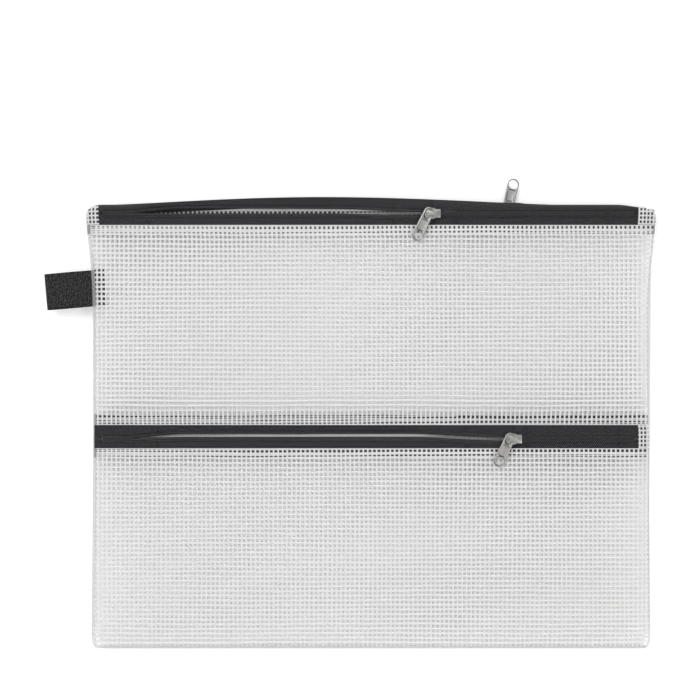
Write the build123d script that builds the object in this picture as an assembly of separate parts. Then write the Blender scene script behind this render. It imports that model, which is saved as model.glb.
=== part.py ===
from build123d import *
import math
import os

# Document wallet lying on its back, filled to its working depth.
# X runs along the zips, Y towards the top edge, Z out of the front face.
# The origin is on the face that it lies on, at the middle of the wallet.

# Outline of the face
waist_half_width = 166.8
top_flare = 4.6
top_flare_start = 55.0
bottom_flare = 0.8
bottom_flare_start = -20.0
bottom_edge = -133.0
top_edge = 134.0
side_ramp = 10.0
bottom_ramp = 14.0
column_shares = (0.0, 0.2, 0.4, 0.65, 1.0)
lift_shares = (0.0, 0.2, 0.4, 0.65, 1.0)
hem_shares = (0.0, 0.33, 0.66, 1.0)
mouth_shares = (0.0, 0.33, 0.67, 1.0)

# Sheets, tapes and coils
sheet_thickness = 0.4
tape_thickness = 0.5
coil_thickness = 1.3
coil_width = 1.8
layer_gap = 0.15
rest_clearance = 0.25
mouth_gap = 4.4

# Zip lines and where their sliders stand
top_line_drop = 5.6
back_line_drop = 2.9
mid_line = -6.9
top_slider_x = 37.0
mid_slider_x = 85.7
back_slider_x = 84.8
zip_left_inset = 11.8
zip_mouth_ramp_left = 45.0
zip_mouth_ramp_right = 55.0
zip_mouth_lead = 8.0
coil_left_inset = 5.8
coil_right_inset = 8.8
tape_end_inset = 2.6
top_lower_visible = 6.6
mid_lower_visible = 5.7
back_lower_visible = 5.2
mid_upper_visible = 8.8
tape_lap = 5.5
mid_lap = 6.0
top_coil_lift = 0.9
mid_coil_lift = 2.2
top_upper_shift = 2.2
arch_height = 4.6
arch_centre = -30.0
arch_left_reach = 125.0
arch_right_reach = 140.0
arch_power = 1.2
binding_leg = 6.0
divider_top_inset = 1.1
hem_flat = 8.5
hem_ramp = 8.0
lap_ramp = 10.0
hem_setback = 0.4

# Zip end covers
cover_width_left = 7.6
cover_width_right = 10.6
cover_width_mid = 6.4
cover_edge_inset = 0.4
cover_gap = 0.8
cover_top_drop = 0.1

# Slider
slider_length = 9.6
shoulder_end = 0.4
tail_start = 1.8
nose_radius = 2.4
plate_thickness = 0.85
channel_height = 1.7
lip_width = 0.5
tape_slot = 0.8
post_length = 3.2
post_width = 1.3
post_nose_inset = 0.3
coil_clearance = 0.2
chain_gap = 0.2
chain_parting = 1.5
tape_seat = 0.1

# Crown and its two lugs
crown_width = 2.4
crown_leg = 2.0
crown_end_inset = 1.1
crown_roof = 0.8
crown_rise = 0.3
crown_fillet = 0.35
lug_radius = 0.45
lug_clearance = 0.05
lug_stand = 0.12
lug_peen_share = 0.6

# Pull tab: its eye goes round the nose leg of the crown
tip_reach = 14.4
pull_thickness = 1.1
pull_lift = 0.2
pull_play = 0.2
back_pull_slack = 1.25
eye_bore = 2.0
eye_wall = 1.0
eye_slot = 2.4
eye_back = 1.0
tip_hole = 2.8
tip_wall = 0.7
recess_depth = 0.28
recess_wall = 0.9
recess_radius = 0.8
top_pull_angle = 244.2
mid_pull_angle = 245.3
back_pull_angle = 76.0

# Ribbon loop
ribbon_width = 21.8
ribbon_drop = 50.4
ribbon_reach = 28.5
ribbon_sewn = 8.0
ribbon_open = 6.4
ribbon_tilt = 5.0
ribbon_steps = 8
ribbon_neck = 3.0

cut_overrun = 1.0


def smooth(value):
    value = max(0.0, min(1.0, value))
    return value * value * (3 - 2 * value)


def swell(value):
    return math.sin(math.pi / 2 * max(0.0, min(1.0, value)))


# Places and widths that follow from the sizes above

top_line = top_edge - top_line_drop
back_line = top_edge - back_line_drop
ribbon_middle = top_edge - ribbon_drop
zip_left = zip_left_inset - waist_half_width
coil_left = coil_left_inset - waist_half_width
coil_right = waist_half_width - coil_right_inset
mid_seam = mid_line + mid_upper_visible
shoulder_width = post_width + 2 * (coil_width + 2 * coil_clearance + lip_width)
tail_width = chain_gap + 2 * (coil_width + coil_clearance + lip_width)
tape_flat = shoulder_width / 2 + coil_clearance
tunnel_height = pull_lift + pull_thickness + pull_play
tip_radius = tip_hole + tip_wall

# Heights of the stacked layers: at the pinched seams and in the filled middle

panel_pitch = tape_thickness / 2 + layer_gap + sheet_thickness / 2
back_panel_level = sheet_thickness / 2
back_tape_low = back_panel_level + panel_pitch
back_tape_high = back_tape_low + coil_thickness + mouth_gap
crown_height = plate_thickness + channel_height / 2 + tunnel_height + crown_roof + crown_rise
back_zip_level = crown_height + lug_stand + rest_clearance
divider_level = back_tape_high + coil_thickness / 2 + layer_gap + sheet_thickness / 2
binding_level = divider_level + panel_pitch
front_tape_edge = binding_level + tape_thickness + layer_gap
front_tape_low = binding_level + tape_thickness / 2 + coil_thickness / 2 + layer_gap
front_zip_level = front_tape_low + coil_thickness + mouth_gap
front_panel_level = front_zip_level + panel_pitch
mid_lap_level = divider_level + panel_pitch
mid_tape_low = divider_level + sheet_thickness / 2 + coil_thickness / 2 + layer_gap
front_lap_level = mid_lap_level + panel_pitch

divider_seam = divider_level
back_tape_seam = divider_seam - panel_pitch
back_panel_seam = back_tape_seam - panel_pitch
binding_seam = divider_seam + panel_pitch
front_tape_seam = binding_seam + tape_thickness + layer_gap
front_panel_seam = front_tape_seam + panel_pitch


def side(y):
    """Half width of the face at a height up the wallet."""
    flare = top_flare * smooth((y - top_flare_start) / (top_edge - top_flare_start)) ** 2
    foot = bottom_flare * smooth((bottom_flare_start - y) / (bottom_flare_start - bottom_edge))
    return waist_half_width + flare + foot


def fill(x, y):
    """Share of the full depth that the filled wallet has at a place, straight between columns."""
    place = max(0.0, min(1.0, (side(y) - abs(x)) / side_ramp))
    for low, high in zip(column_shares, column_shares[1:]):
        if place <= high:
            return swell(low) + (swell(high) - swell(low)) * (place - low) / (high - low)
    return 1.0


def arch(x):
    """How far the slack top edge bows above its straight line."""
    reach = arch_left_reach if x < arch_centre else arch_right_reach
    turn = min(1.0, abs(x - arch_centre) / reach)
    return arch_height * max(0.0, math.cos(math.pi / 2 * turn)) ** arch_power


def back_edge_rise(x):
    """Rise of the bound top edge, which also passes clear over the back slider."""
    clear = back_line + tape_flat + tape_thickness - top_edge
    away = abs(x - back_slider_x) - slider_length / 2
    return max(arch(x), clear * smooth(1 - away / zip_mouth_lead))


def mouth(x, slider_x):
    """Share of the full opening of a zip whose slider stands at slider_x."""
    nose = slider_x - zip_mouth_lead
    return smooth((x - zip_left) / zip_mouth_ramp_left) * smooth((nose - x) / zip_mouth_ramp_right)


def parting(x, slider_x):
    """Distance from the zip line to the near edge of each coil."""
    closed = chain_gap / 2
    parted = post_width / 2 + coil_clearance
    post_middle = slider_x - slider_length / 2 + post_nose_inset + post_length / 2
    share = (slider_x + chain_parting - x) / (slider_x + chain_parting - post_middle)
    end_share = smooth((x - zip_left) / zip_mouth_ramp_left)
    return closed + (parted - closed) * max(0.0, min(1.0, share)) * end_share


def zip_stations(line, slider_x, left, right):
    """Places along a zip where its section is drawn."""
    nose = slider_x - zip_mouth_lead
    post_middle = slider_x - slider_length / 2 + post_nose_inset + post_length / 2
    places = [left, right]
    places += [zip_left + zip_mouth_ramp_left * share for share in mouth_shares]
    places += [nose - zip_mouth_ramp_right * share for share in mouth_shares]
    places += [slider_x - slider_length / 2, post_middle, slider_x + chain_parting]
    places += [slider_x + slider_length / 2, slider_x + slider_length / 2 + zip_mouth_lead]
    for share in column_shares:
        column = side(line) - side_ramp * share
        places += [place for place in (-column, column) if left < place < right]
    return sorted(set(places))


def band(path, thickness):
    """Outline of a strip of even thickness that follows a path in its plane."""
    upper = []
    lower = []
    for i, (a, b) in enumerate(path):
        before = path[max(i - 1, 0)]
        after = path[min(i + 1, len(path) - 1)]
        first = math.atan2(b - before[1], a - before[0]) if i else None
        last = math.atan2(after[1] - b, after[0] - a) if i < len(path) - 1 else None
        first = last if first is None else first
        last = first if last is None else last
        bend = math.atan2(math.sin(last - first), math.cos(last - first)) / 2
        reach = thickness / 2 / math.cos(bend)
        turn = first + bend + math.pi / 2
        upper.append((a + reach * math.cos(turn), b + reach * math.sin(turn)))
        lower.append((a - reach * math.cos(turn), b - reach * math.sin(turn)))
    return upper + lower[::-1]


def loft_along_x(stations, section):
    wires = []
    for x in stations:
        wires.append(Wire.make_polygon([Vector(x, y, z) for y, z in section(x)], close=True))
    return Solid.make_loft(wires, ruled=True)


def sheet(stations, columns, height, thickness):
    """A soft sheet drawn through sections across the wallet, one for each place up it."""
    wires = []
    for y in stations:
        row = [(x, height(x, y)) for x in columns(y)]
        outline = [(x, z + thickness / 2) for x, z in row]
        outline += [(x, z - thickness / 2) for x, z in reversed(row)]
        wires.append(Wire.make_polygon([Vector(x, y, z) for x, z in outline], close=True))
    return Solid.make_loft(wires, ruled=True)


def side_columns(y, middle=()):
    inset = [side_ramp * share for share in column_shares]
    left = [-side(y) + step for step in inset]
    return left + list(middle) + [-x for x in reversed(left)]


# Sheets

def front_upper_height(x, y):
    lift = swell((y - mid_seam - mid_lap) / lap_ramp)
    level = front_lap_level + (front_panel_level - front_lap_level) * lift
    return front_panel_seam + (level - front_panel_seam) * fill(x, y)


def front_lower_height(x, y):
    lift = swell((y - bottom_edge) / bottom_ramp)
    return front_panel_seam + (front_panel_level - front_panel_seam) * fill(x, y) * lift


def back_height(x, y):
    hem = back_line - back_lower_visible
    raised = smooth((y - hem + tape_lap + hem_flat + hem_ramp) / hem_ramp)
    closed = 1 - mouth(x, back_slider_x)
    level = back_panel_level + (back_zip_level - panel_pitch - back_panel_level) * raised * closed
    lift = swell((y - bottom_edge) / bottom_ramp)
    return back_panel_seam + (level - back_panel_seam) * fill(x, y) * lift


def front_upper_panel():
    foot = mid_seam + hem_setback
    places = [foot] + [foot + mid_lap + lap_ramp * share for share in hem_shares]
    places += [top_flare_start, (top_flare_start + top_line) / 2, top_line - top_lower_visible]
    return sheet(places, side_columns, front_upper_height, sheet_thickness)


def front_lower_panel():
    places = [bottom_edge + bottom_ramp * share for share in lift_shares]
    places += [(bottom_edge + bottom_ramp + mid_line) / 2, mid_line - mid_lower_visible]
    return sheet(places, side_columns, front_lower_height, sheet_thickness)


def back_panel():
    hem = back_line - back_lower_visible
    places = [bottom_edge + bottom_ramp * share for share in lift_shares]
    places += [bottom_flare_start, top_flare_start]
    places += [hem - tape_lap - hem_flat - hem_ramp * share for share in reversed(hem_shares)]
    places += [hem]
    nose = back_slider_x - zip_mouth_lead
    middle = [zip_left + zip_mouth_ramp_left * share for share in mouth_shares[1:]]
    middle += [nose - zip_mouth_ramp_right * share for share in reversed(mouth_shares)]
    return sheet(places, lambda y: side_columns(y, middle), back_height, sheet_thickness)


def divider_panel():
    places = [bottom_edge, bottom_flare_start, top_flare_start]
    places += [(top_flare_start + top_line) / 2, top_edge - divider_top_inset]
    return sheet(places, lambda y: [-side(y), side(y)], lambda x, y: divider_level, sheet_thickness)


# Tapes and coils of one zip, on the edge below the line and on the edge above it

def chain_edge(x, slider_x):
    """Distance from the zip line to the edge of the tape, past the coil."""
    return parting(x, slider_x) + coil_width + tape_seat


def ends_of(line):
    reach = side(line) - tape_end_inset
    return -reach, reach


def settled(x, points, seam):
    """Path of a layer at its filled levels, drawn in to its seam level near the sides."""
    return [(y, seam + (level - seam) * fill(x, y)) for y, level in points]


def level_strip(x, outer, inner, level, seam):
    """Path of a tape that stays level across its width, at the depth of its outer edge."""
    depth = seam + (level - seam) * fill(x, outer)
    return [(outer, depth), (inner, depth)]


def front_lower_path(line, visible, slider_x, lift):
    def path(x):
        outer = line - visible - tape_lap
        inner = line - chain_edge(x, slider_x) + lift * mouth(x, slider_x)
        return level_strip(x, outer, inner, front_zip_level, front_tape_seam)
    return path


def top_upper_path(x):
    open_share = mouth(x, top_slider_x)
    inner_level = front_zip_level + (front_tape_low - front_zip_level) * open_share
    inner = top_line + chain_edge(x, top_slider_x) + top_upper_shift * open_share
    shoulder = top_line + tape_flat + top_upper_shift * open_share
    outer = top_edge + arch(x) - tape_thickness
    points = [(inner, inner_level), (shoulder, inner_level), (outer, front_tape_edge)]
    return settled(x, points, front_tape_seam)


def mid_upper_path(x):
    open_share = mouth(x, mid_slider_x)
    inner_level = front_zip_level + (mid_tape_low - front_zip_level) * open_share
    inner = mid_line + chain_edge(x, mid_slider_x) + mid_coil_lift * open_share
    shoulder = mid_line + tape_flat + mid_coil_lift * open_share
    points = [(inner, inner_level), (shoulder, inner_level)]
    points += [(mid_seam, mid_lap_level), (mid_seam + mid_lap, mid_lap_level)]
    return settled(x, points, front_tape_seam)


def back_lower_path(x):
    closed = 1 - mouth(x, back_slider_x)
    level = back_tape_low + (back_zip_level - back_tape_low) * closed
    inner = back_line - chain_edge(x, back_slider_x)
    outer = back_line - back_lower_visible - tape_lap
    return level_strip(x, outer, inner, level, back_tape_seam)


def back_upper_path(x):
    """The tape turns over the divider's top edge and binds it."""
    closed = 1 - mouth(x, back_slider_x)
    level = back_tape_high + (back_zip_level - back_tape_high) * closed
    inner = back_line + chain_edge(x, back_slider_x)
    fold = top_edge + back_edge_rise(x) - tape_thickness / 2
    back_leg = settled(x, [(inner, level), (fold, level)], back_tape_seam)
    front_leg = settled(x, [(fold, binding_level), (fold - binding_leg, binding_level)], binding_seam)
    return back_leg + front_leg


def coil_section(inner, outer, level):
    """Rounded bead that the row of coil turns fills."""
    corner = coil_thickness / 4
    low = min(inner, outer)
    high = max(inner, outer)
    half = coil_thickness / 2
    return [
        (low, level - half + corner), (low + corner, level - half),
        (high - corner, level - half), (high, level - half + corner),
        (high, level + half - corner), (high - corner, level + half),
        (low + corner, level + half), (low, level + half - corner),
    ]


def tape(path, line, slider_x):
    stations = zip_stations(line, slider_x, *ends_of(line))
    return loft_along_x(stations, lambda x: band(path(x), tape_thickness))


def coil(path, line, slider_x, inner_end, sign):
    """Coil beside the inner end of a tape's path; sign points from the zip line to the tape."""
    def section(x):
        y, z = path(x)[inner_end]
        outer = y - sign * tape_seat
        return coil_section(outer - sign * coil_width, outer, z)
    return loft_along_x(zip_stations(line, slider_x, coil_left, coil_right), section)


# Covers of the zip ends, cut from the same sheet

def end_cover(direction, width, places, levels):
    """Cover that follows the side of the wallet, with a level for each place up it."""
    far = cover_edge_inset + width
    steps = [cover_edge_inset, far]
    steps += [side_ramp * share for share in column_shares if cover_edge_inset < side_ramp * share < far]
    table = dict(zip(places, levels))

    def columns(y):
        return sorted(direction * (side(y) - step) for step in steps)

    def height(x, y):
        return front_panel_seam + (table[y] - front_panel_seam) * fill(x, y)
    return sheet(places, columns, height, sheet_thickness)


def top_cover(direction, width):
    places = [top_line - top_lower_visible + cover_gap, top_line + tape_flat + cover_gap]
    places += [top_edge - cover_top_drop]
    levels = [front_panel_level, front_panel_level, front_panel_seam + panel_pitch]
    return end_cover(direction, width, places, levels)


def mid_cover():
    places = [mid_line - mid_lower_visible + cover_gap, mid_line + tape_flat + cover_gap]
    places += [mid_seam - cover_gap / 2]
    levels = [front_panel_level, front_panel_level, front_lap_level + panel_pitch + cover_gap]
    return end_cover(1, cover_width_mid, places, levels)


# Slider: built at its own origin with its nose towards -X and its crown towards +Z

def slider_outline(inset):
    """Half-open plan of the slider: round nose, shoulders and a straight tail."""
    nose = -slider_length / 2 + inset
    tail = slider_length / 2
    shoulder = shoulder_width / 2 - inset
    end = tail_width / 2 - inset
    radius = nose_radius - inset
    rim = [(tail, -end), (tail_start, -end), (shoulder_end, -shoulder), (nose, -shoulder)]
    rim += [(nose, shoulder), (shoulder_end, shoulder), (tail_start, end), (tail, end)]
    plan = make_face(Polyline(*rim, close=True))
    corners = plan.vertices().sort_by(Axis.X)[0:2]
    return fillet(corners, radius)


def plan_prism(plan, low, high):
    return Pos(0, 0, low) * extrude(plan, amount=high - low)


def slider_body():
    half = channel_height / 2
    top = half + plate_thickness
    outer = slider_outline(0)
    block = plan_prism(outer, -top, top)
    nose_width = shoulder_width - 2 * lip_width
    nose_cut = Pos(-slider_length / 2, 0, 0) * Box(2 * nose_radius, nose_width, channel_height)
    channel = plan_prism(slider_outline(lip_width), -half, half)
    tail_open = Pos(slider_length / 2, 0, 0) * Box(cut_overrun, tail_width - 2 * lip_width, channel_height)
    slot = Box(slider_length + cut_overrun, shoulder_width + cut_overrun, tape_slot)
    body = block - channel - tail_open - nose_cut - slot
    post_x = -slider_length / 2 + post_nose_inset
    middle = post_x + post_length / 2
    tips = [(post_x, 0), (middle, -post_width / 2), (post_x + post_length, 0), (middle, post_width / 2)]
    body += plan_prism(make_face(Polyline(*tips, close=True)), -half, half)
    for x in lug_places():
        stem = tunnel_height + crown_roof + crown_rise
        body += Pos(x, 0, top + stem / 2) * Cylinder(lug_radius, stem)
        head = Cone(lug_radius, lug_radius * lug_peen_share, lug_stand)
        body += Pos(x, 0, top + stem + lug_stand / 2) * head
    return body


def lug_places():
    nose = -slider_length / 2 + crown_end_inset + crown_leg / 2
    return [nose, -nose]


def slider_crown():
    base = channel_height / 2 + plate_thickness
    under = base + tunnel_height
    eaves = under + crown_roof
    end = slider_length / 2 - crown_end_inset
    inner = end - crown_leg
    arch_line = ThreePointArc((end, eaves), (0, eaves + crown_rise), (-end, eaves))
    rim = Polyline((-end, eaves), (-end, base), (-inner, base), (-inner, under))
    tunnel = Polyline((-inner, under), (inner, under), (inner, base), (end, base), (end, eaves))
    profile = make_face([arch_line, rim, tunnel])
    crown = extrude(Plane.XZ * profile, amount=crown_width / 2, both=True)
    ends = crown.edges().filter_by(Axis.Y).group_by(Axis.Z)[-1]
    crown = fillet(ends, crown_fillet)
    height = tunnel_height + crown_roof + crown_rise
    for x in lug_places():
        bore = Cylinder(lug_radius + lug_clearance, height + 2 * cut_overrun)
        crown -= Pos(x, 0, base + height / 2) * bore
    return crown


def pull_tab():
    """Pull lying along +X from the crown leg that its eye goes round."""
    eye_radius = eye_bore + eye_wall
    pull_reach = tip_reach + tip_radius
    lean = math.asin((tip_radius - eye_radius) / (tip_reach + eye_back))
    away = [(-math.sin(lean), math.cos(lean)), (-math.sin(lean), -math.cos(lean))]
    eye = [(eye_radius * a - eye_back, eye_radius * b) for a, b in away]
    tip = [(tip_reach + tip_radius * a, tip_radius * b) for a, b in away]
    rim = [
        Line(eye[0], tip[0]),
        ThreePointArc(tip[0], (pull_reach, 0), tip[1]),
        Line(tip[1], eye[1]),
        ThreePointArc(eye[1], (-eye_back - eye_radius, 0), eye[0]),
    ]
    plan = make_face(rim)
    slot = Circle(eye_bore) + Pos(eye_slot, 0) * Circle(eye_bore)
    slot += Pos(eye_slot / 2, 0) * Rectangle(eye_slot, 2 * eye_bore)
    plan -= Pos(-eye_back, 0) * slot
    plan -= Pos(tip_reach, 0) * Circle(tip_hole)
    low = channel_height / 2 + plate_thickness + pull_lift
    tab = plan_prism(plan, low, low + pull_thickness)
    start = eye_slot - eye_back + eye_bore + recess_wall
    stop = tip_reach - tip_hole - recess_wall / 2
    recess = RectangleRounded(stop - start, 2 * (eye_radius - recess_wall), recess_radius)
    for level in (low - recess_depth, low + pull_thickness - recess_depth):
        tab -= Pos((start + stop) / 2, 0, level) * extrude(recess, amount=2 * recess_depth)
    return tab


def place_slider(shape, x, line, level, back=False):
    turned = Rot(180, 0, 0) * shape if back else shape
    return Pos(x, line, level) * turned


def place_pull(angle, slack, x, line, level, back=False):
    turn = -angle if back else angle
    swung = Pos(lug_places()[0], 0, 0) * Rot(0, 0, turn) * Pos(slack, 0, 0) * pull_tab()
    return place_slider(swung, x, line, level, back)


# Ribbon loop: both ends sewn into the left seam, the middle standing open

def ribbon_loop():
    seam = -side(ribbon_middle)
    middle = (divider_seam + front_panel_seam) / 2
    neck = (tape_thickness + layer_gap) / 2
    path = [(ribbon_sewn, neck), (-ribbon_neck, neck)]
    for i in range(1, ribbon_steps):
        share = i / ribbon_steps
        open_half = neck + (ribbon_open / 2 - neck) * math.sqrt(math.sin(math.pi * share))
        path.append((-ribbon_neck - (ribbon_reach - ribbon_neck) * share, open_half))
    path = path + [(-ribbon_reach, 0)] + [(x, -z) for x, z in reversed(path)]
    outline = make_face(Polyline(*[(x, z) for x, z in band(path, tape_thickness)], close=True))
    loop = extrude(Plane.XZ * outline, amount=ribbon_width / 2, both=True)
    return Pos(seam, ribbon_middle, middle) * Rot(0, 0, ribbon_tilt) * loop


def build_nodes():
    nodes = {
        "back_panel": back_panel(),
        "divider_panel": divider_panel(),
        "front_upper_panel": front_upper_panel(),
        "front_lower_panel": front_lower_panel(),
        "zip_end_cover_top_left": top_cover(-1, cover_width_left),
        "zip_end_cover_top_right": top_cover(1, cover_width_right),
        "zip_end_cover_mid_right": mid_cover(),
        "ribbon_loop": ribbon_loop(),
    }
    top_lower_path = front_lower_path(top_line, top_lower_visible, top_slider_x, top_coil_lift)
    mid_lower_path = front_lower_path(mid_line, mid_lower_visible, mid_slider_x, mid_coil_lift)
    zips = {
        "top": (top_line, top_slider_x, top_lower_path, top_upper_path),
        "mid": (mid_line, mid_slider_x, mid_lower_path, mid_upper_path),
        "back": (back_line, back_slider_x, back_lower_path, back_upper_path),
    }
    for name, (line, slider_x, lower_path, upper_path) in zips.items():
        nodes[f"{name}_zip_lower_tape"] = tape(lower_path, line, slider_x)
        nodes[f"{name}_zip_upper_tape"] = tape(upper_path, line, slider_x)
        nodes[f"{name}_zip_lower_coil"] = coil(lower_path, line, slider_x, 1, -1)
        nodes[f"{name}_zip_upper_coil"] = coil(upper_path, line, slider_x, 0, 1)
    sliders = {
        "top": (top_slider_x, top_line, front_zip_level, top_pull_angle, 0, False),
        "mid": (mid_slider_x, mid_line, front_zip_level, mid_pull_angle, 0, False),
        "back": (back_slider_x, back_line, back_zip_level, back_pull_angle, back_pull_slack, True),
    }
    for name, (x, line, level, angle, slack, back) in sliders.items():
        nodes[f"{name}_slider_body"] = place_slider(slider_body(), x, line, level, back)
        nodes[f"{name}_slider_crown"] = place_slider(slider_crown(), x, line, level, back)
        nodes[f"{name}_pull_tab"] = place_pull(angle, slack, x, line, level, back)
    return nodes


os.makedirs("parts", exist_ok=True)
for node, shape in build_nodes().items():
    export_step(shape, f"parts/{node}.step")
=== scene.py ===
import math
import bmesh
import bpy
import numpy as np
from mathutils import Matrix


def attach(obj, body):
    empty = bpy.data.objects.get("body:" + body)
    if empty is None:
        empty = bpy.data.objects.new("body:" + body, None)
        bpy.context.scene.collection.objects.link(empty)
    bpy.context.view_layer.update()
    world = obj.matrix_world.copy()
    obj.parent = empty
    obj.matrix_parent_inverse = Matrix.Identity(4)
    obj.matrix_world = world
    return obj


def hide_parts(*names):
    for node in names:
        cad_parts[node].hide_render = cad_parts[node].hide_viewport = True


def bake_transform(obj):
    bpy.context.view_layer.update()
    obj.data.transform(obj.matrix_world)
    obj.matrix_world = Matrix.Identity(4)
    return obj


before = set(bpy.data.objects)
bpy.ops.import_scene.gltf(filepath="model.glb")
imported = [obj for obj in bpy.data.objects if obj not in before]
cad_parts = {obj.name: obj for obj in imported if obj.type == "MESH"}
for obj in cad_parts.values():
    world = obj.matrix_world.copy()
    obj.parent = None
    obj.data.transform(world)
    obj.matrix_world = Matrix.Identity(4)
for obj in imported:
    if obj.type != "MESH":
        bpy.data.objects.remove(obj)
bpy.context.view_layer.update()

mm = 0.001
print("frame loaded")


# Shader helpers: a socket that takes part in sums, and a material that makes nodes

class Sock:
    def __init__(self, finish, socket):
        self.finish = finish
        self.socket = socket

    def do(self, operation, *values):
        return self.finish.node("ShaderNodeMath", {"operation": operation}, dict(enumerate(values)))

    def __add__(self, other):
        return self.do("ADD", self, other)

    def __radd__(self, other):
        return self.do("ADD", other, self)

    def __sub__(self, other):
        return self.do("SUBTRACT", self, other)

    def __rsub__(self, other):
        return self.do("SUBTRACT", other, self)

    def __mul__(self, other):
        return self.do("MULTIPLY", self, other)

    def __rmul__(self, other):
        return self.do("MULTIPLY", other, self)

    def __pow__(self, other):
        return self.do("POWER", self, other)

    def wave(self, length):
        return self.do("SINE", self * (2 * math.pi / length)) * 0.5 + 0.5


class Finish:
    def __init__(self, owner, slot="", shader="Principled BSDF"):
        self.material = owner
        self.material.use_nodes = True
        self.slot = slot
        self.tree = self.material.node_tree
        self.shader = self.tree.nodes[shader]

    def feed(self, target, value):
        if isinstance(value, Sock):
            self.tree.links.new(value.socket, target)
        else:
            target.default_value = value

    def node(self, kind, settings, sockets, out=0):
        made = self.tree.nodes.new(kind)
        for key, value in settings.items():
            setattr(made, key, value)
        for key, value in sockets.items():
            self.feed(made.inputs[key], value)
        return Sock(self, made.outputs[out])

    def part(self, vector, axis):
        return self.node("ShaderNodeSeparateXYZ", {}, {0: vector}, axis)

    def cloth(self):
        return self.node("ShaderNodeUVMap", {"uv_map": "cloth"}, {})

    def noise(self, place, scale, detail=3.0):
        return self.node("ShaderNodeTexNoise", {}, {"Vector": place, "Scale": scale, "Detail": detail})

    def tint(self, factor, low, high):
        low, high = (tone if isinstance(tone, Sock) else (*tone, 1) for tone in (low, high))
        return self.node("ShaderNodeMix", {"data_type": "RGBA"}, {0: factor, 6: low, 7: high}, 2)

    def bump(self, height, strength, depth):
        return self.node("ShaderNodeBump", {}, {"Strength": strength, "Distance": depth, "Height": height})

    def surface(self, sockets):
        for key, value in sockets.items():
            self.feed(self.shader.inputs[key], value)

    def glowThrough(self, tone, share):
        back = self.node("ShaderNodeBsdfTranslucent", {}, {"Color": (*tone, 1)})
        front = Sock(self, self.shader.outputs[0])
        both = self.node("ShaderNodeMixShader", {}, {0: share, 1: front, 2: back})
        self.feed(self.tree.nodes["Material Output"].inputs["Surface"], both)


# Mesh helper: collects grids of points in millimetres and makes one mesh of them

bakeMargin = 0.05


class Weave:
    def __init__(self):
        self.spots = []
        self.faces = []
        self.cloth = []
        self.bake = []
        self.kinds = []
        self.count = 0

    def add(self, grid, along, across, kind=0):
        rows, columns = grid.shape[:2]
        index = np.arange(rows * columns).reshape(rows, columns) + self.count
        quads = np.stack([index[:-1, :-1], index[:-1, 1:], index[1:, 1:], index[1:, :-1]], -1)
        self.faces.append(quads.reshape(-1, 4))
        self.kinds.append(np.broadcast_to(kind, (rows - 1, columns - 1)).ravel())
        self.spots.append(grid.reshape(-1, 3))
        self.cloth.append(np.stack([along.ravel(), across.ravel()], -1))
        step = np.stack(np.meshgrid(np.linspace(0, 1, columns), np.linspace(0, 1, rows)), -1)
        self.bake.append(step.reshape(-1, 2))
        self.count += rows * columns

    def make(self, name, finishes):
        mesh = bpy.data.meshes.new(name)
        faces = np.concatenate(self.faces)
        mesh.from_pydata((np.concatenate(self.spots) * mm).tolist(), [], faces.tolist())
        share = 1 / len(self.bake)
        inner = (1 - 2 * bakeMargin) * share
        atlas = [part * [inner, 1] + [(k + bakeMargin) * share, 0] for k, part in enumerate(self.bake)]
        for title, values in (("cloth", self.cloth), ("OFBake", atlas)):
            layer = mesh.uv_layers.new(name=title)
            layer.data.foreach_set("uv", np.concatenate(values)[faces.ravel()].astype(np.float32).ravel())
        mesh.polygons.foreach_set("material_index", np.concatenate(self.kinds).astype(np.int32))
        mesh.polygons.foreach_set("use_smooth", np.ones(len(faces), dtype=bool))
        for finish in finishes:
            mesh.materials.append(finish.material)
        made = bpy.data.objects.new(name, mesh)
        bpy.context.collection.objects.link(made)
        return made


# Shape of the wallet: its outline, how it fills out and how its zips open, in millimetres

face = {
    "waist": 167.3, "flare": 4.3, "flareStart": 55.0, "foot": 0.8, "footStart": -20.0,
    "top": 134.0, "bottom": -133.0, "sideRamp": 10.0, "bottomRamp": 14.0,
    "footWide": 3.0, "footHigh": 8.0, "earWide": 10.0, "earHigh": 6.5, "earEnd": 0.98,
    "dip": 1.6, "dipFrom": 148.0, "dipWide": 16.0,
    "archHigh": 4.6, "archAt": -30.0, "archLeft": 125.0, "archRight": 140.0, "archPower": 1.2,
}
seam = {"divider": 7.5, "backTape": 6.9, "back": 6.3, "binding": 8.1, "frontTape": 8.75, "front": 9.35}
zips = {
    "top": {
        "line": 128.4, "slider": 37.0, "level": 14.85, "visible": 6.6, "lowerShift": 0.9,
        "upperShift": 2.2, "upperDrop": 5.7, "shoulder": 131.95,
    },
    "mid": {
        "line": -6.9, "slider": 85.7, "level": 14.85, "visible": 5.7, "lowerShift": 2.2,
        "upperShift": 2.2, "upperDrop": 6.35, "shoulder": -3.35, "boundFrom": 1.9, "boundTo": 7.9,
    },
    "back": {
        "line": 131.1, "slider": 84.8, "level": 4.67, "lowerDrop": 3.87, "upperRise": 1.83, "sewnAt": 120.4,
        "hump": 1.15, "humpHalf": 4.8, "humpRun": 8.0, "crease": 0.25, "leg": 6.0,
    },
}
opening = {
    "left": -155.0, "leftRun": 45.0, "lead": 8.0, "rightRun": 55.0,
    "partLead": 1.5, "partRun": 4.4, "parted": 1.1,
}
coil = {
    "pitch": 1.1, "wide": 1.8, "thick": 1.3, "wire": 0.27, "turns": 8, "sides": 6,
    "left": -161.0, "right": 158.0, "mesh": 0.25, "core": 1.9, "seat": 1.9, "inset": 1.0,
    "tuck": 0.5, "tucked": 0.97, "stations": 200,
    "stitch": 0.42, "stitchWide": 0.5, "stitchProud": 0.06, "firstStitch": 0.6, "lastStitch": 0.4,
}


def smooth(share):
    share = np.clip(share, 0, 1)
    return share * share * (3 - 2 * share)


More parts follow.
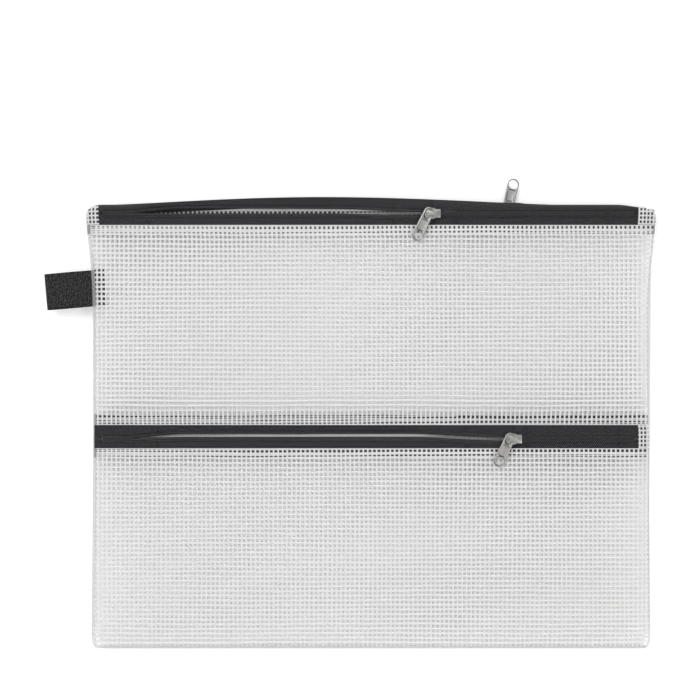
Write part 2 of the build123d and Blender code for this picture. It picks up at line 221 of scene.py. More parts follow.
def swell(share):
    return np.sin(math.pi / 2 * np.clip(share, 0, 1))


def fullSide(y):
    flare = smooth((y - face["flareStart"]) / (face["top"] - face["flareStart"])) ** 2
    foot = smooth((face["footStart"] - y) / (face["footStart"] - face["bottom"]))
    return face["waist"] + face["flare"] * flare + face["foot"] * foot


# The side with its rounded corners at the foot and at the ears of the top edge
def side(y):
    foot = np.clip((face["bottom"] + face["footHigh"] - y) / face["footHigh"], 0, 1)
    ear = np.clip((y - face["top"] + face["earHigh"]) / face["earHigh"], 0, 1)
    drop = face["footWide"] * (1 - np.sqrt(1 - foot ** 2)) + face["earWide"] * (1 - np.sqrt(1 - ear ** 2))
    return fullSide(y) - drop


def topEdge(x):
    start = fullSide(face["top"]) - face["earWide"]
    share = np.clip((np.abs(x) - start) / face["earWide"], 0, face["earEnd"])
    dip = face["dip"] * smooth((x - face["dipFrom"]) / face["dipWide"])
    return face["top"] - dip - face["earHigh"] * (1 - np.sqrt(1 - share ** 2))


def fill(x, y):
    return swell((fullSide(y) - np.abs(x)) / face["sideRamp"])


def lift(y):
    return swell((y - face["bottom"]) / face["bottomRamp"])


def arch(x):
    reach = np.where(x < face["archAt"], face["archLeft"], face["archRight"])
    turn = np.minimum(1, np.abs(x - face["archAt"]) / reach)
    return face["archHigh"] * np.maximum(0, np.cos(math.pi / 2 * turn)) ** face["archPower"]


def leftEnd(x):
    return smooth((x - opening["left"]) / opening["leftRun"])


def mouth(x, slider):
    return leftEnd(x) * smooth((slider - opening["lead"] - x) / opening["rightRun"])


def parting(x, slider):
    share = np.clip((slider + opening["partLead"] - x) / opening["partRun"], 0, 1)
    return opening["parted"] * share * leftEnd(x) - coil["mesh"]


# How far the tape's inner edge lies from the zip's line; past the coil's ends the two tapes close up
def chainEdge(x, slider):
    beyond = max(coil["left"] - x, x - coil["right"])
    return (parting(x, slider) + coil["seat"]) * (1 - coil["tucked"] * smooth(beyond / coil["tuck"]))


# Heights of the four sheets, each with soft dents that fade towards its sewn edges

dents = {
    "wideX": 27, "bend": 1.4, "bendY": 33, "wideY": 47, "lean": 0.6, "leanX": 61,
    "fine": 0.35, "fineX": 11, "fineY": 17, "crossY": 13, "crossX": 71, "fade": 14,
}
upperFront = {
    "lap": 8.7, "rise": 6.75, "riseFrom": 7.9, "riseRun": 10, "hem": 1.15, "hemFrom": 4.2, "hemRun": 2.9,
    "dent": 0.22, "phase": 0.4, "sag": 0.0, "calm": ((121.8, 7), (2, 16)),
}
lowerFront = {"rise": 6.1, "dent": 0.22, "phase": 2.1, "sag": 0.0, "calm": ((-12.6, 7),)}
backSheet = {
    "level": 0.2, "hemFrom": 103.9, "hemRun": 8,
    "dent": 0.1, "phase": 3.3, "sag": 0.14, "calm": ((125.9, 20),),
}
dividerSheet = {"dent": 0.16, "phase": 5.0, "sag": 0.0, "calm": ((132, 14), (-2, 14))}


def dented(sheet, x, y):
    turn = dents["bend"] * np.sin(y / dents["bendY"] + sheet["phase"])
    lean = dents["lean"] * np.sin(x / dents["leanX"])
    slow = np.sin(x / dents["wideX"] + turn + sheet["phase"]) * np.cos(y / dents["wideY"] - lean)
    cross = np.sin(y / dents["crossY"] + x / dents["crossX"])
    fast = dents["fine"] * np.sin(x / dents["fineX"] - y / dents["fineY"] + sheet["phase"]) * cross
    soft = sheet["dent"] * (slow + fast) + sheet["sag"]
    for line, reach in sheet["calm"]:
        soft = soft * smooth((np.abs(y - line) - reach) / dents["fade"])
    return soft


def frontUpperHeight(x, y):
    body = upperFront["rise"] * swell((y - upperFront["riseFrom"]) / upperFront["riseRun"])
    hem = upperFront["hem"] * smooth((upperFront["hemFrom"] - y) / upperFront["hemRun"])
    level = upperFront["lap"] + body + hem
    return seam["front"] + (level - seam["front"] + dented(upperFront, x, y)) * fill(x, y)


def frontLowerHeight(x, y):
    return seam["front"] + (lowerFront["rise"] + dented(lowerFront, x, y)) * fill(x, y) * lift(y)


def backHeight(x, y):
    closed = 1 - mouth(x, zips["back"]["slider"])
    raised = smooth((y - backSheet["hemFrom"]) / backSheet["hemRun"]) * closed
    level = backSheet["level"] + zips["back"]["lowerDrop"] * raised + dented(backSheet, x, y)
    return seam["back"] + (level - seam["back"]) * fill(x, y) * lift(y)


def dividerHeight(x, y):
    return seam["divider"] + dented(dividerSheet, x, y) * fill(x, y) * lift(y)


# Finishes

filmLook = {
    "dark": (0.76, 0.76, 0.77), "light": (0.90, 0.90, 0.91), "cloud": 0.05, "cloudDetail": 4.0,
    "roughness": 0.2, "haze": 0.16, "alpha": 0.045,
    "dent": 0.12, "dentDetail": 2.0, "dented": 0.25, "deep": 0.0012,
}
film = Finish(bpy.data.materials.new("clearFilm"), "mesh_film")
place = film.cloth()
cloud = film.noise(place, filmLook["cloud"], filmLook["cloudDetail"])
dent = film.noise(place, filmLook["dent"], filmLook["dentDetail"])
film.surface({
    "Base Color": film.tint(cloud, filmLook["dark"], filmLook["light"]),
    "Roughness": filmLook["roughness"] + filmLook["haze"] * cloud, "Alpha": filmLook["alpha"],
    "Normal": film.bump(dent, filmLook["dented"], filmLook["deep"]),
})

weldLook = {
    "dark": (0.6, 0.6, 0.6), "light": (0.74, 0.74, 0.74), "grain": 0.8, "roughness": 0.32, "alpha": 0.42,
    "knurl": 0.9, "pressed": 0.3, "deep": 0.0002,
}
weld = Finish(bpy.data.materials.new("weldedFilm"), "mesh_film")
place = weld.cloth()
knurl = weld.part(place, 0).wave(weldLook["knurl"]) * weld.part(place, 1).wave(weldLook["knurl"])
weld.surface({
    "Base Color": weld.tint(weld.noise(place, weldLook["grain"]), weldLook["dark"], weldLook["light"]),
    "Roughness": weldLook["roughness"], "Alpha": weldLook["alpha"],
    "Normal": weld.bump(knurl, weldLook["pressed"], weldLook["deep"]),
})

scrimLook = {
    "dark": (0.90, 0.90, 0.90), "light": (0.97, 0.97, 0.965), "ply": 0.3, "fuzz": 1.6, "roughness": 0.5,
    "through": (0.935, 0.935, 0.932), "share": 0.4,
}
scrim = Finish(bpy.data.materials.new("scrimThread"), "mesh_film")
place = scrim.cloth()
strand = scrim.part(place, 1).wave(scrimLook["ply"]) * 0.5 + 0.5 * scrim.noise(place, scrimLook["fuzz"])
scrim.surface({
    "Base Color": scrim.tint(strand, scrimLook["dark"], scrimLook["light"]),
    "Roughness": scrimLook["roughness"],
})
scrim.glowThrough(scrimLook["through"], scrimLook["share"])

tapeLook = {
    "dark": (0.002, 0.002, 0.003), "light": (0.085, 0.085, 0.09), "roughness": 0.82, "specular": 0.25,
    "pick": 1.2, "course": 1.8, "glintContrast": 5.0, "fleck": 0.8, "fleckShare": 1.8, "shade": 0.8,
    "raised": 0.6, "deep": 0.00018,
}
tapeCloth = Finish(bpy.data.materials.new("zipTapeWeave"), "zip_tape")
place = tapeCloth.cloth()
along, across = tapeCloth.part(place, 0), tapeCloth.part(place, 1)
# Painted highlight: the weave's crowns are lighter in the base colour, as glints over the random flecks; the
# same weave also raises the bump
weaveAndGlint = (along.wave(tapeLook["pick"]) - 0.5) * (across.wave(tapeLook["course"]) - 0.5)
fleck = tapeCloth.noise(place, tapeLook["fleck"])
mottle = weaveAndGlint * tapeLook["glintContrast"] + fleck * tapeLook["fleckShare"] - tapeLook["shade"]
tapeCloth.surface({
    "Base Color": tapeCloth.tint(mottle, tapeLook["dark"], tapeLook["light"]),
    "Roughness": tapeLook["roughness"], "Specular IOR Level": tapeLook["specular"],
    "Normal": tapeCloth.bump(weaveAndGlint, tapeLook["raised"], tapeLook["deep"]),
})

sewingLook = {
    "dark": (0.06, 0.06, 0.062), "light": (0.16, 0.16, 0.165), "fuzz": 1.5,
    "roughness": 0.7, "specular": 0.25,
}
sewing = Finish(bpy.data.materials.new("coilSewing"), "zip_tape")
place = sewing.cloth()
fuzz = sewing.noise(place, sewingLook["fuzz"])
sewing.surface({
    "Base Color": sewing.tint(fuzz, sewingLook["dark"], sewingLook["light"]),
    "Roughness": sewingLook["roughness"], "Specular IOR Level": sewingLook["specular"],
})

nylonLook = {
    "dark": (0.016, 0.016, 0.017), "light": (0.036, 0.036, 0.038), "cloud": 0.4,
    "roughness": 0.45, "specular": 0.3,
}
nylon = Finish(bpy.data.materials.new("coilNylon"), "zip_coil")
place = nylon.cloth()
cloud = nylon.noise(place, nylonLook["cloud"])
nylon.surface({
    "Base Color": nylon.tint(cloud, nylonLook["dark"], nylonLook["light"]),
    "Roughness": nylonLook["roughness"], "Specular IOR Level": nylonLook["specular"],
})

ribbonLook = {
    "dark": (0.003, 0.003, 0.004), "light": (0.062, 0.062, 0.065), "rib": 1.05, "ribShare": 0.5,
    "fleck": 0.9, "fleckShare": 3.0, "shade": 1.35, "roughness": 0.75, "specular": 0.25,
    "raised": 0.7, "deep": 0.0003,
}
ribbonCloth = Finish(bpy.data.materials.new("ribbedRibbon"), "ribbon")
place = ribbonCloth.cloth()
rib = ribbonCloth.part(place, 0).wave(ribbonLook["rib"])
fleck = ribbonCloth.noise(place, ribbonLook["fleck"])
mottle = rib * ribbonLook["ribShare"] + fleck * ribbonLook["fleckShare"] - ribbonLook["shade"]
ribbonCloth.surface({
    "Base Color": ribbonCloth.tint(mottle, ribbonLook["dark"], ribbonLook["light"]),
    "Roughness": ribbonLook["roughness"], "Specular IOR Level": ribbonLook["specular"],
    "Normal": ribbonCloth.bump(rib, ribbonLook["raised"], ribbonLook["deep"]),
})

# The rim tone is painted shade for the eased rims; dark and light are the nickel's own worn tones
nickelLook = {
    "dark": (0.50, 0.495, 0.48), "light": (0.64, 0.63, 0.61), "rim": (0.05, 0.05, 0.048), "rimShadePower": 8.0,
    "grain": 900.0, "grainDetail": 5.0, "wear": 160.0, "roughness": 0.2, "satin": 0.22,
    "raised": 0.12, "deep": 0.00008,
}
nickel = Finish(bpy.data.materials.new("satinNickel"), "slider_metal")
facing = nickel.node("ShaderNodeTexCoord", {}, {}, 1)
place = nickel.node("ShaderNodeTexCoord", {}, {}, 3)
grain = nickel.noise(place, nickelLook["grain"], nickelLook["grainDetail"])
worn = nickel.tint(nickel.noise(place, nickelLook["wear"]), nickelLook["dark"], nickelLook["light"])
upright = nickel.part(facing, 2)
unshadedFlats = upright.do("ABSOLUTE", upright) ** nickelLook["rimShadePower"]  # painted shade: rims that tilt away from the top are coloured near black, standing in for the dark surroundings they mirror
nickel.surface({
    "Base Color": nickel.tint(unshadedFlats, nickelLook["rim"], worn), "Metallic": 1.0,
    "Roughness": nickelLook["roughness"] + nickelLook["satin"] * grain,
    "Normal": nickel.bump(grain, nickelLook["raised"], nickelLook["deep"]),
})
print("finishes made")


# Film sheets, each with the woven grid that lies in it

panels = {
    "frontUpper": {
        "node": "front_upper_panel", "height": frontUpperHeight, "low": 1.4, "high": 121.5,
        "rowAt": 121.45, "columnAt": 0.4, "tilt": 0.0, "flat": (345, 130), "folds": (121.3, 6.8),
    },
    "frontLower": {
        "node": "front_lower_panel", "height": frontLowerHeight, "low": face["bottom"], "high": -12.5,
        "rowAt": -12.55, "columnAt": 0.9, "tilt": 0.0, "flat": (345, 130), "folds": (-12.7,),
    },
    "divider": {
        "node": "divider_panel", "height": dividerHeight, "low": face["bottom"], "high": 131.7,
        "rowAt": 131.4, "columnAt": 1.7, "tilt": 0.5, "flat": (345, 268), "folds": (),
    },
    "back": {
        "node": "back_panel", "height": backHeight, "low": face["bottom"], "high": 125.9,
        "rowAt": 125.4, "columnAt": 0.2, "tilt": -0.35, "flat": (348, 268), "folds": (125.7,),
    },
}
grid = {
    "rowPitch": 2.843, "columnPitch": 2.7, "wide": 1.2, "slim": 1.0, "hem": 0.6, "thick": 0.2,
    "under": 0.06, "lowest": 1.6, "short": 0.1, "rowLeft": 1.65, "rowRight": 0.55, "columnsLeft": 64,
    "rowStep": 9.0, "columnStep": 8.0, "around": (0, 0.6, 1.2),
}
filmGrid = {
    "step": 4.0, "weldLeft": 2.2, "weldRight": 1.1, "weldFoot": 1.5, "margin": 14,
    "sideSteps": (3.6, 5.2, 7.2, 10.0), "footSteps": (0.7, 1.6, 2.8, 4.4, 6.4, 8.8, 11.5),
}
sway = {
    "row": 0.22, "rowLength": 31, "rowTurn": 0.21, "fine": 0.1, "fineLength": 9,
    "column": 0.2, "columnLength": 27, "columnTurn": 0.17,
}
fold = {"deep": 5.2, "below": 0.22, "shift": 0.3, "tilt": 0.3}


def columnPlaces(half, step):
    inset = np.array([0, filmGrid["weldRight"], filmGrid["weldLeft"], *filmGrid["sideSteps"]])
    inner = half - filmGrid["margin"]
    middle = np.linspace(-inner, inner, int(2 * face["waist"] / step))
    return np.concatenate([-half + inset, middle, half - inset[::-1]])


def rowPlaces(low, high, step):
    places = list(np.linspace(low, high, max(3, int((high - low) / step))))
    if low == face["bottom"]:
        places += [low + inset for inset in filmGrid["footSteps"]]
    return np.array(sorted(places))


# One sheet of film, welded at its sides and foot
def filmSheet(weave, low, high, height):
    ys = rowPlaces(low, high, filmGrid["step"])
    xs = np.array([columnPlaces(side(y), filmGrid["step"]) for y in ys])
    up = np.repeat(ys[:, None], xs.shape[1], axis=1)
    points = np.stack([xs, up, height(xs, up)], -1)
    kind = np.zeros((len(ys) - 1, xs.shape[1] - 1), dtype=int)
    kind[:, :2] = 1
    kind[:, -1:] = 1
    kind[ys[:-1] < face["bottom"] + filmGrid["weldFoot"], :] = 1
    weave.add(points, xs, up, kind)


# One thread of the grid: an open strip with a low ridge, along X or along Y
def thread(weave, centre, alongX, wide, kind=0, pointed=False):
    ring = np.array([(wide, -grid["thick"]), (0, grid["thick"]), (-wide, -grid["thick"])]) / 2
    if not alongX:
        ring = ring * [-1, 1]
    spots = np.repeat(centre[:, None, :], len(ring), axis=1)
    spots[:, :, 1 if alongX else 0] += ring[:, 0]
    spots[:, :, 2] += ring[:, 1]
    if pointed:
        spots[0] = centre[0]
        spots[-1] = centre[-1]
    run = np.repeat(centre[:, 0 if alongX else 1][:, None], len(ring), axis=1)
    turn = np.repeat(np.array(grid["around"])[None, :], len(centre), axis=0)
    weave.add(spots, run, turn, kind)


def threads(weave, low, high, height, rowAt, columnAt, tilt):
    lean = math.tan(math.radians(tilt))
    inner = np.arange(rowAt - grid["rowPitch"], low + grid["lowest"], -grid["rowPitch"])
    hems = [high - grid["hem"] / 2]
    if low > face["bottom"]:
        hems.append(low + grid["hem"] / 2)
    for k, row in enumerate([*inner, *hems]):
        wide, share = (grid["wide"], 1.0) if k < len(inner) else (grid["hem"], 0.0)
        xs = columnPlaces(side(row), grid["rowStep"])
        slow = sway["row"] * np.sin(xs / sway["rowLength"] + k * sway["rowTurn"])
        ys = row + lean * xs + share * (slow + sway["fine"] * np.sin(xs / sway["fineLength"] + k))
        inside = (ys > low) & (ys < high)
        inside &= (xs > grid["rowLeft"] - side(ys)) & (xs < side(ys) - grid["rowRight"])
        xs, ys = xs[inside], ys[inside]
        if len(xs) > 2:
            thread(weave, np.stack([xs, ys, height(xs, ys)], -1), True, wide)
    leftmost = columnAt - grid["columnsLeft"] * grid["columnPitch"]
    for k, column in enumerate(np.arange(leftmost, fullSide(face["top"]), grid["columnPitch"])):
        ys = rowPlaces(low + grid["short"], high - grid["short"], grid["columnStep"])
        slow = sway["column"] * np.sin(ys / sway["columnLength"] + k * sway["columnTurn"])
        xs = column - lean * ys + slow
        inside = (xs > filmGrid["weldLeft"] - side(ys)) & (xs < side(ys) - filmGrid["weldRight"])
        xs, ys = xs[inside], ys[inside]
        if len(xs) > 2:
            thread(weave, np.stack([xs, ys, height(xs, ys) - grid["under"]], -1), False, grid["slim"])


for name, panel in panels.items():
    sheetWeave = Weave()
    filmSheet(sheetWeave, panel["low"], panel["high"], panel["height"])
    sheet = sheetWeave.make(name + "Film", [film, weld])
    threadWeave = Weave()
    threads(threadWeave, panel["low"], panel["high"], panel["height"], panel["rowAt"], panel["columnAt"],
            panel["tilt"])
    for under in panel["folds"]:  # film folded back behind a sewn edge, so the grid shows twice there
        threads(threadWeave, under - fold["deep"], under,
                lambda x, y: panel["height"](x, y) - fold["below"],
                under - fold["shift"], panel["columnAt"], fold["tilt"])
    scrimPiece = threadWeave.make(name + "Scrim", [scrim])
    for piece in (sheet, scrimPiece):
        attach(piece, "wallet")
        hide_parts(panel["node"])
    [value * mm for value in panel["flat"]]
print("film sheets made")


# Covers of the zip ends

covers = {
    "topLeftCover": {
        "node": "zip_end_cover_top_left", "way": -1, "wide": 8.0, "low": 121.9, "high": 133.9, "dip": 0.0,
        "fall": 5.5, "fallFrom": 131.5, "fallRun": 3.5, "flat": (10.0, 11.8),
    },
    "topRightCover": {
        "node": "zip_end_cover_top_right", "way": 1, "wide": 11.0, "low": 121.9, "high": 132.3, "dip": 1.6,
        "fall": 5.5, "fallFrom": 131.5, "fallRun": 3.5, "flat": (12.5, 11.0),
    },
    "midRightCover": {
        "node": "zip_end_cover_mid_right", "way": 1, "wide": 6.8, "low": -12.2, "high": 1.6, "dip": 0.0,
        "fall": 5.6, "fallFrom": -2.6, "fallRun": 4.2, "flat": (10.0, 12.5),
    },
}
coverGrid = {
    "rowPitch": 2.5, "columnPitch": 2.25, "firstRow": 0.3, "firstColumn": 1.5, "wide": 1.0, "rim": 0.5,
    "level": 15.45, "proud": 0.1, "short": 0.1, "steps": 13, "rowSteps": 14,
}


def onCover(cover, x, y):
    level = coverGrid["level"] - cover["fall"] * smooth((y - cover["fallFrom"]) / cover["fallRun"])
    height = seam["front"] + coverGrid["proud"] + (level - seam["front"]) * fill(x, y)
    return np.stack([x, y, height], -1)


for name, cover in covers.items():
    way = cover["way"]
    ys = np.linspace(cover["low"], cover["high"], coverGrid["steps"])
    outer = side(ys + cover["dip"]) - coverGrid["short"]
    inner = fullSide(ys) - cover["wide"]
    steps = np.linspace(0, 1, coverGrid["steps"])
    xs = np.sort(way * (inner[:, None] + (outer - inner)[:, None] * steps[None, :]), axis=1)
    up = np.repeat(ys[:, None], len(steps), axis=1)
    sheetWeave = Weave()
    sheetWeave.add(onCover(cover, xs, up), xs, up)
    sheet = sheetWeave.make(name + "Film", [film])
    threadWeave = Weave()
    for row in np.arange(cover["low"] + coverGrid["firstRow"], cover["high"], coverGrid["rowPitch"]):
        end = side(row + cover["dip"]) - coverGrid["short"]
        reach = np.linspace(fullSide(row) - cover["wide"], end, coverGrid["rowSteps"])
        thread(threadWeave, onCover(cover, reach * way, np.full(len(reach), row)), True, coverGrid["wide"])
    for step in np.arange(coverGrid["firstColumn"], cover["wide"], coverGrid["columnPitch"]):
        rise = ys[outer > fullSide(ys) - step + coverGrid["short"]]
        thread(threadWeave, onCover(cover, way * (fullSide(rise) - step), rise), False, coverGrid["wide"])
    thread(threadWeave, onCover(cover, way * outer, ys), False, coverGrid["rim"])
    scrimPiece = threadWeave.make(name + "Scrim", [scrim])
    for piece in (sheet, scrimPiece):
        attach(piece, "wallet")
        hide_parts(cover["node"])
print("end covers made")


# Zip tapes and coils, parted to the left of the slider. A path is the tape's line across the zip, in Y and Z.

tape = {"thick": 0.5, "hidden": 5.5, "edgeIn": 0.5, "shoulderIn": 0.5, "flat": 0.4}


def settled(x, points, level):
    return np.array([(y, level + (z - level) * float(fill(x, y))) for y, z in points])


def frontLowerPath(zipper):
    def path(x):
        shift = zipper["lowerShift"] * mouth(x, zipper["slider"])
        inner = zipper["line"] - chainEdge(x, zipper["slider"]) + shift
        outer = zipper["line"] - zipper["visible"] - tape["hidden"]
        points = [(y, zipper["level"]) for y in (outer, (outer + inner) / 2, inner)]
        return settled(x, points, seam["frontTape"])
    return path


def topUpperPath(x):
    zipper = zips["top"]
    opened = mouth(x, zipper["slider"])
    level = zipper["level"] - zipper["upperDrop"] * opened
    shift = zipper["upperShift"] * opened
    outer = topEdge(x) + arch(x) - tape["edgeIn"]
    shoulder = min(zipper["shoulder"] + shift, outer - tape["shoulderIn"])
    inner = min(zipper["line"] + chainEdge(x, zipper["slider"]) + shift, shoulder - tape["flat"])
    return settled(x, [(inner, level), (shoulder, level), (outer, seam["frontTape"])], seam["frontTape"])


def midUpperPath(x):
    zipper = zips["mid"]
    opened = mouth(x, zipper["slider"])
    level = zipper["level"] - zipper["upperDrop"] * opened
    shift = zipper["upperShift"] * opened
    inner = zipper["line"] + chainEdge(x, zipper["slider"]) + shift
    free = [(inner, level), (zipper["shoulder"] + shift, level)]
    bound = [(zipper["boundFrom"], seam["binding"]), (zipper["boundTo"], seam["binding"])]
    return settled(x, free + bound, seam["frontTape"])


def backLowerPath(x):
    zipper = zips["back"]
    level = zipper["level"] - zipper["lowerDrop"] * mouth(x, zipper["slider"])
    inner = zipper["line"] - chainEdge(x, zipper["slider"])
    middle = (zipper["sewnAt"] + inner) / 2
    return settled(x, [(y, level) for y in (zipper["sewnAt"], middle, inner)], seam["backTape"])


# The upper back tape is folded over the top edge and binds it, with a hump that clears the back slider
def backUpperPath(x):
    zipper = zips["back"]
    level = zipper["level"] + zipper["upperRise"] * mouth(x, zipper["slider"])
    inner = zipper["line"] + chainEdge(x, zipper["slider"])
    hump = smooth(1 - (abs(x - zipper["slider"]) - zipper["humpHalf"]) / zipper["humpRun"])
    crease = topEdge(x) + max(arch(x), zipper["hump"] * hump) - zipper["crease"]
    backLeg = [(min(inner, crease - tape["shoulderIn"]), level), (crease, level)]
    frontLeg = [(crease, seam["binding"]), (crease - zipper["leg"], seam["binding"])]
    return np.concatenate([settled(x, backLeg, seam["backTape"]), settled(x, frontLeg, seam["binding"])])


# Cuts the corners of a line twice, which rounds it
def rounded(points):
    for _ in range(2):
        near = 0.75 * points[:-1] + 0.25 * points[1:]
        far = 0.25 * points[:-1] + 0.75 * points[1:]
        middle = np.stack([near, far], 1).reshape(-1, 2)
        points = np.concatenate([points[:1], middle[1:-1], points[-1:]])
    return points


def runAlong(points):
    return np.concatenate([[0], np.cumsum(np.linalg.norm(np.diff(points, axis=0), axis=1))])


def band(points, thick):
    step = np.gradient(points, axis=0)
    step /= np.linalg.norm(step, axis=1)[:, None] + 1e-9
    normal = np.stack([-step[:, 1], step[:, 0]], -1) * np.reshape(thick, (-1, 1)) / 2
    loop = np.concatenate([points - normal, (points + normal)[::-1]])
    return np.concatenate([loop, loop[:1]])


# Presses a closed ring flat onto its middle line, which closes the end of a band
def pressed(ring):
    flat = (ring[:-1] + ring[:-1][::-1]) / 2
    return np.concatenate([flat, flat[:1]])


edges = {
    "topLower": {"zip": "top", "node": "top_zip_lower", "inner": -1, "sign": -1, "up": 1},
    "topUpper": {"zip": "top", "node": "top_zip_upper", "inner": 0, "sign": 1, "up": 1},
    "midLower": {"zip": "mid", "node": "mid_zip_lower", "inner": -1, "sign": -1, "up": 1},
    "midUpper": {"zip": "mid", "node": "mid_zip_upper", "inner": 0, "sign": 1, "up": 1},
    "backLower": {"zip": "back", "node": "back_zip_lower", "inner": -1, "sign": -1, "up": -1},
    "backUpper": {"zip": "back", "node": "back_zip_upper", "inner": 0, "sign": 1, "up": -1},
}
paths = {
    "topLower": frontLowerPath(zips["top"]), "topUpper": topUpperPath,
    "midLower": frontLowerPath(zips["mid"]), "midUpper": midUpperPath,
    "backLower": backLowerPath, "backUpper": backUpperPath,
}


def tapePiece(name, path, xs):
    rows = []
    runs = []
    for x in xs:
        line = rounded(path(x))
        ring = band(line, tape["thick"])
        length = runAlong(line)
        rows.append(np.column_stack([np.full(len(ring), x), ring]))
        runs.append(np.concatenate([length, length[::-1], length[:1]]))
    rows = np.array([pressed(rows[0]), *rows, pressed(rows[-1])])
    weave = Weave()
    weave.add(rows, rows[:, :, 0], np.array([runs[0], *runs, runs[-1]]))
    return weave.make(name, [tapeCloth])


# Turns of nylon wire round a flat core, with a row of stitches over them
def coilPiece(name, edge, path, low, high):
    stations = np.linspace(coil["left"], coil["right"], coil["stations"])
    ends = np.array([path(x)[edge["inner"]] for x in stations])
    turns = int((high - low) / coil["pitch"])
    xs = np.linspace(low, high, turns * coil["turns"] + 1)
    angle = 2 * math.pi * xs / coil["pitch"] + (0 if edge["sign"] > 0 else math.pi)
    midY = np.interp(xs, stations, ends[:, 0]) - edge["sign"] * coil["inset"]
    midZ = np.interp(xs, stations, ends[:, 1])
    wide = coil["wide"] / 2 - coil["wire"]
    thick = coil["thick"] / 2 - coil["wire"]
    centre = np.stack([xs, midY + wide * np.cos(angle), midZ + thick * np.sin(angle)], -1)
    outward = np.stack([np.zeros_like(xs), np.cos(angle), np.sin(angle)], -1)
    spin = -np.linspace(0, 2 * math.pi, coil["sides"])
    rows = centre[:, None, :] + coil["wire"] * np.cos(spin)[None, :, None] * outward[:, None, :]
    rows[:, :, 0] += coil["wire"] * np.sin(spin)[None, :]
    weave = Weave()
    weave.add(rows, np.repeat(xs[:, None], len(spin), axis=1), np.repeat(spin[None, :], len(xs), axis=0))
    core = np.stack([xs, midY, midZ], -1)[::coil["turns"]]
    thread(weave, core, True, coil["core"])
    for x in np.arange(low + coil["firstStitch"], high - coil["lastStitch"], coil["pitch"]):
        y = np.interp(x, xs, midY)
        z = np.interp(x, xs, midZ) + edge["up"] * (coil["thick"] / 2 + coil["stitchProud"])
        stitch = np.array([(x + step * coil["stitch"], y, z) for step in (-1, 0, 1)])
        thread(weave, stitch, True, coil["stitchWide"], 1, True)
    return weave.make(name, [nylon, sewing])


# Each tape and coil is cut into three lengths a side, each on its own stretch of a smooth step that runs from
# the slider out to the held end.

lengths = {"shares": (0.0, 0.12, 0.88, 1.0), "held": 157.0, "step": 2.2, "short": 0.9}


def stepAt(share):
    return 0.5 - math.sin(math.asin(1 - 2 * share) / 3)


for name, edge in edges.items():
    zipper = zips[edge["zip"]]
    end = float(fullSide(zipper["line"])) - lengths["short"]
    tucks = [coil["left"] - coil["tuck"], coil["left"], coil["right"], coil["right"] + coil["tuck"]]
    for part, way in (("Left", -1), ("Right", 1)):
        reach = way * lengths["held"] - zipper["slider"]
        for count, (near, far) in enumerate(zip(lengths["shares"], lengths["shares"][1:])):
            first, last = zipper["slider"] + reach * near, zipper["slider"] + reach * far
            run = (last - first) / (stepAt(far) - stepAt(near))
            start = first - stepAt(near) * run
            low, high = sorted((first, last if far < 1 else way * end))
            xs = np.linspace(low, high, max(3, int((high - low) / lengths["step"])))
            xs = np.sort(np.concatenate([xs, [x for x in tucks if low < x < high]]))
            label = part + str(count + 1)
            tapeMade = tapePiece(name + "Tape" + label, paths[name], xs)
            coilMade = coilPiece(name + "Coil" + label, edge, paths[name], max(low, coil["left"]),
                                 min(high, coil["right"]))
            for piece, node in ((tapeMade, edge["node"] + "_tape"), (coilMade, edge["node"] + "_coil")):
                start * mm
                (start + run) * mm
                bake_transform(piece)
                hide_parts(node)
print("zips made")


# Ribbon loop, sewn into the left seam

ribbon = {
    "wide": 21.8, "middle": 83.6, "level": 8.425, "neck": 0.325, "reach": 28.5, "sewn": 8.0,
    "open": 6.4, "start": 3.0, "tilt": 5.0, "ribDepth": 0.14, "thick": 0.42,
    "bowSteps": 9, "ribSteps": 4, "rows": 9,
}
half = [(ribbon["sewn"], ribbon["neck"]), (-ribbon["start"], ribbon["neck"])]
for share in np.linspace(0, 1, ribbon["bowSteps"])[1:-1]:
    rise = (ribbon["open"] / 2 - ribbon["neck"]) * math.sqrt(math.sin(math.pi * share))
    half.append((-ribbon["start"] - (ribbon["reach"] - ribbon["start"]) * share, ribbon["neck"] + rise))
line = rounded(np.array(half + [(-ribbon["reach"], 0)] + [(x, -z) for x, z in reversed(half)]))
length = runAlong(line)
runs = np.arange(0, length[-1], ribbonLook["rib"] / ribbon["ribSteps"])
line = np.stack([np.interp(runs, length, line[:, 0]), np.interp(runs, length, line[:, 1])], -1)
thick = ribbon["thick"] + ribbon["ribDepth"] * np.sin(2 * math.pi * runs / ribbonLook["rib"])
ring = band(line, thick)[::-1]
ringRun = np.concatenate([runs, runs[::-1], runs[:1]])[::-1]
turn = math.radians(ribbon["tilt"])
rows = []
for up in np.linspace(-ribbon["wide"] / 2, ribbon["wide"] / 2, ribbon["rows"]):
    rows.append(np.stack([ring[:, 0] * math.cos(turn) - up * math.sin(turn),
                          ring[:, 0] * math.sin(turn) + up * math.cos(turn), ring[:, 1]], -1))
rows = np.array([pressed(rows[0]), *rows, pressed(rows[-1])])
rows += [-float(fullSide(ribbon["middle"])), ribbon["middle"], ribbon["level"]]
ribbonWeave = Weave()
ribbonWeave.add(rows, np.repeat(ringRun[None, :], len(rows), axis=0), rows[:, :, 1])
ribbonLoop = ribbonWeave.make("ribbonLoop", [ribbonCloth])
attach(ribbonLoop, "wallet")
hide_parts("ribbon_loop")
print("ribbon made")


# Sliders, crowns and pulls, with their edges eased

metal = {
    "slider_body": {"easing": 0.14, "narrow": True},
    "slider_crown": {"easing": 0.12, "narrow": True},
    "pull_tab": {"easing": 0.28, "narrow": False},
}
easingSteps = {
    "merge": 0.002, "level": 2, "sharp": 35, "crease": 38, "segments": 3, "profile": 0.5, "corners": 4,
}


